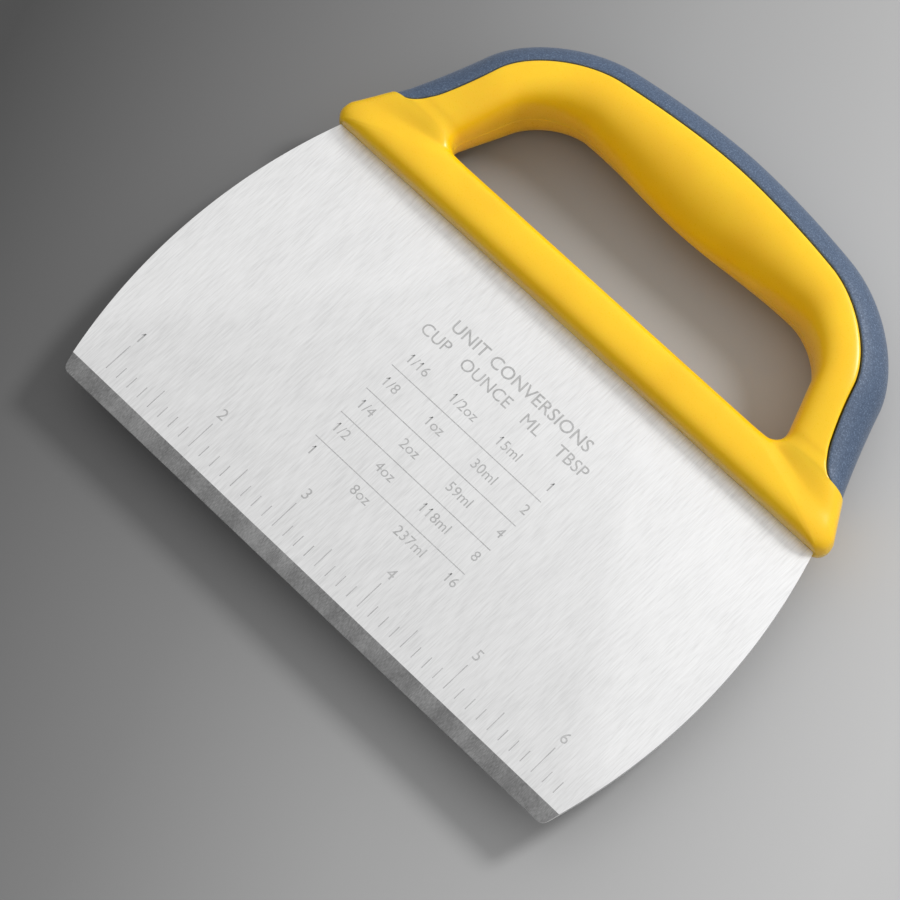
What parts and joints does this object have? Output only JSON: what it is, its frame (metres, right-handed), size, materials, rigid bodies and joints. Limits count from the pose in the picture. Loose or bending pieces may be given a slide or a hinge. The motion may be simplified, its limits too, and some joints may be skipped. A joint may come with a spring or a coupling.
{
  "type": "bench scraper",
  "caption": "Bench scraper with a wide bevelled steel blade with bowed sides and a D-shaped loop handle with a textured soft pad round its outside.",
  "frame": {"origin": "centre of the bounding box's base, with the scraper on its back and its blade level", "axes": "+X along the cutting edge, +Y from the cutting edge to the handle, +Z out of the blade's bevelled face"},
  "size_m": [0.1544, 0.1388, 0.021],
  "materials": {
    "blade_steel": "long-line brushed across the edge, bevel ground darker",
    "handle_yellow": "satin moulded plastic, golden yellow",
    "carrier_plastic": "plain moulded, dark blue-grey",
    "grip_blue": "soft-touch with a fine spark texture, blue-grey",
    "pin_steel": "plain turned"
  },
  "bodies": {
    "root": {"blade": "blade_steel", "front_shell": "handle_yellow", "rear_shell": "handle_yellow", "grip_carrier": "carrier_plastic", "grip_skin": "grip_blue", "tang_pin_1": "pin_steel", "tang_pin_2": "pin_steel", "tang_pin_3": "pin_steel", "tang_pin_4": "pin_steel"}
  },
  "joints": []
}
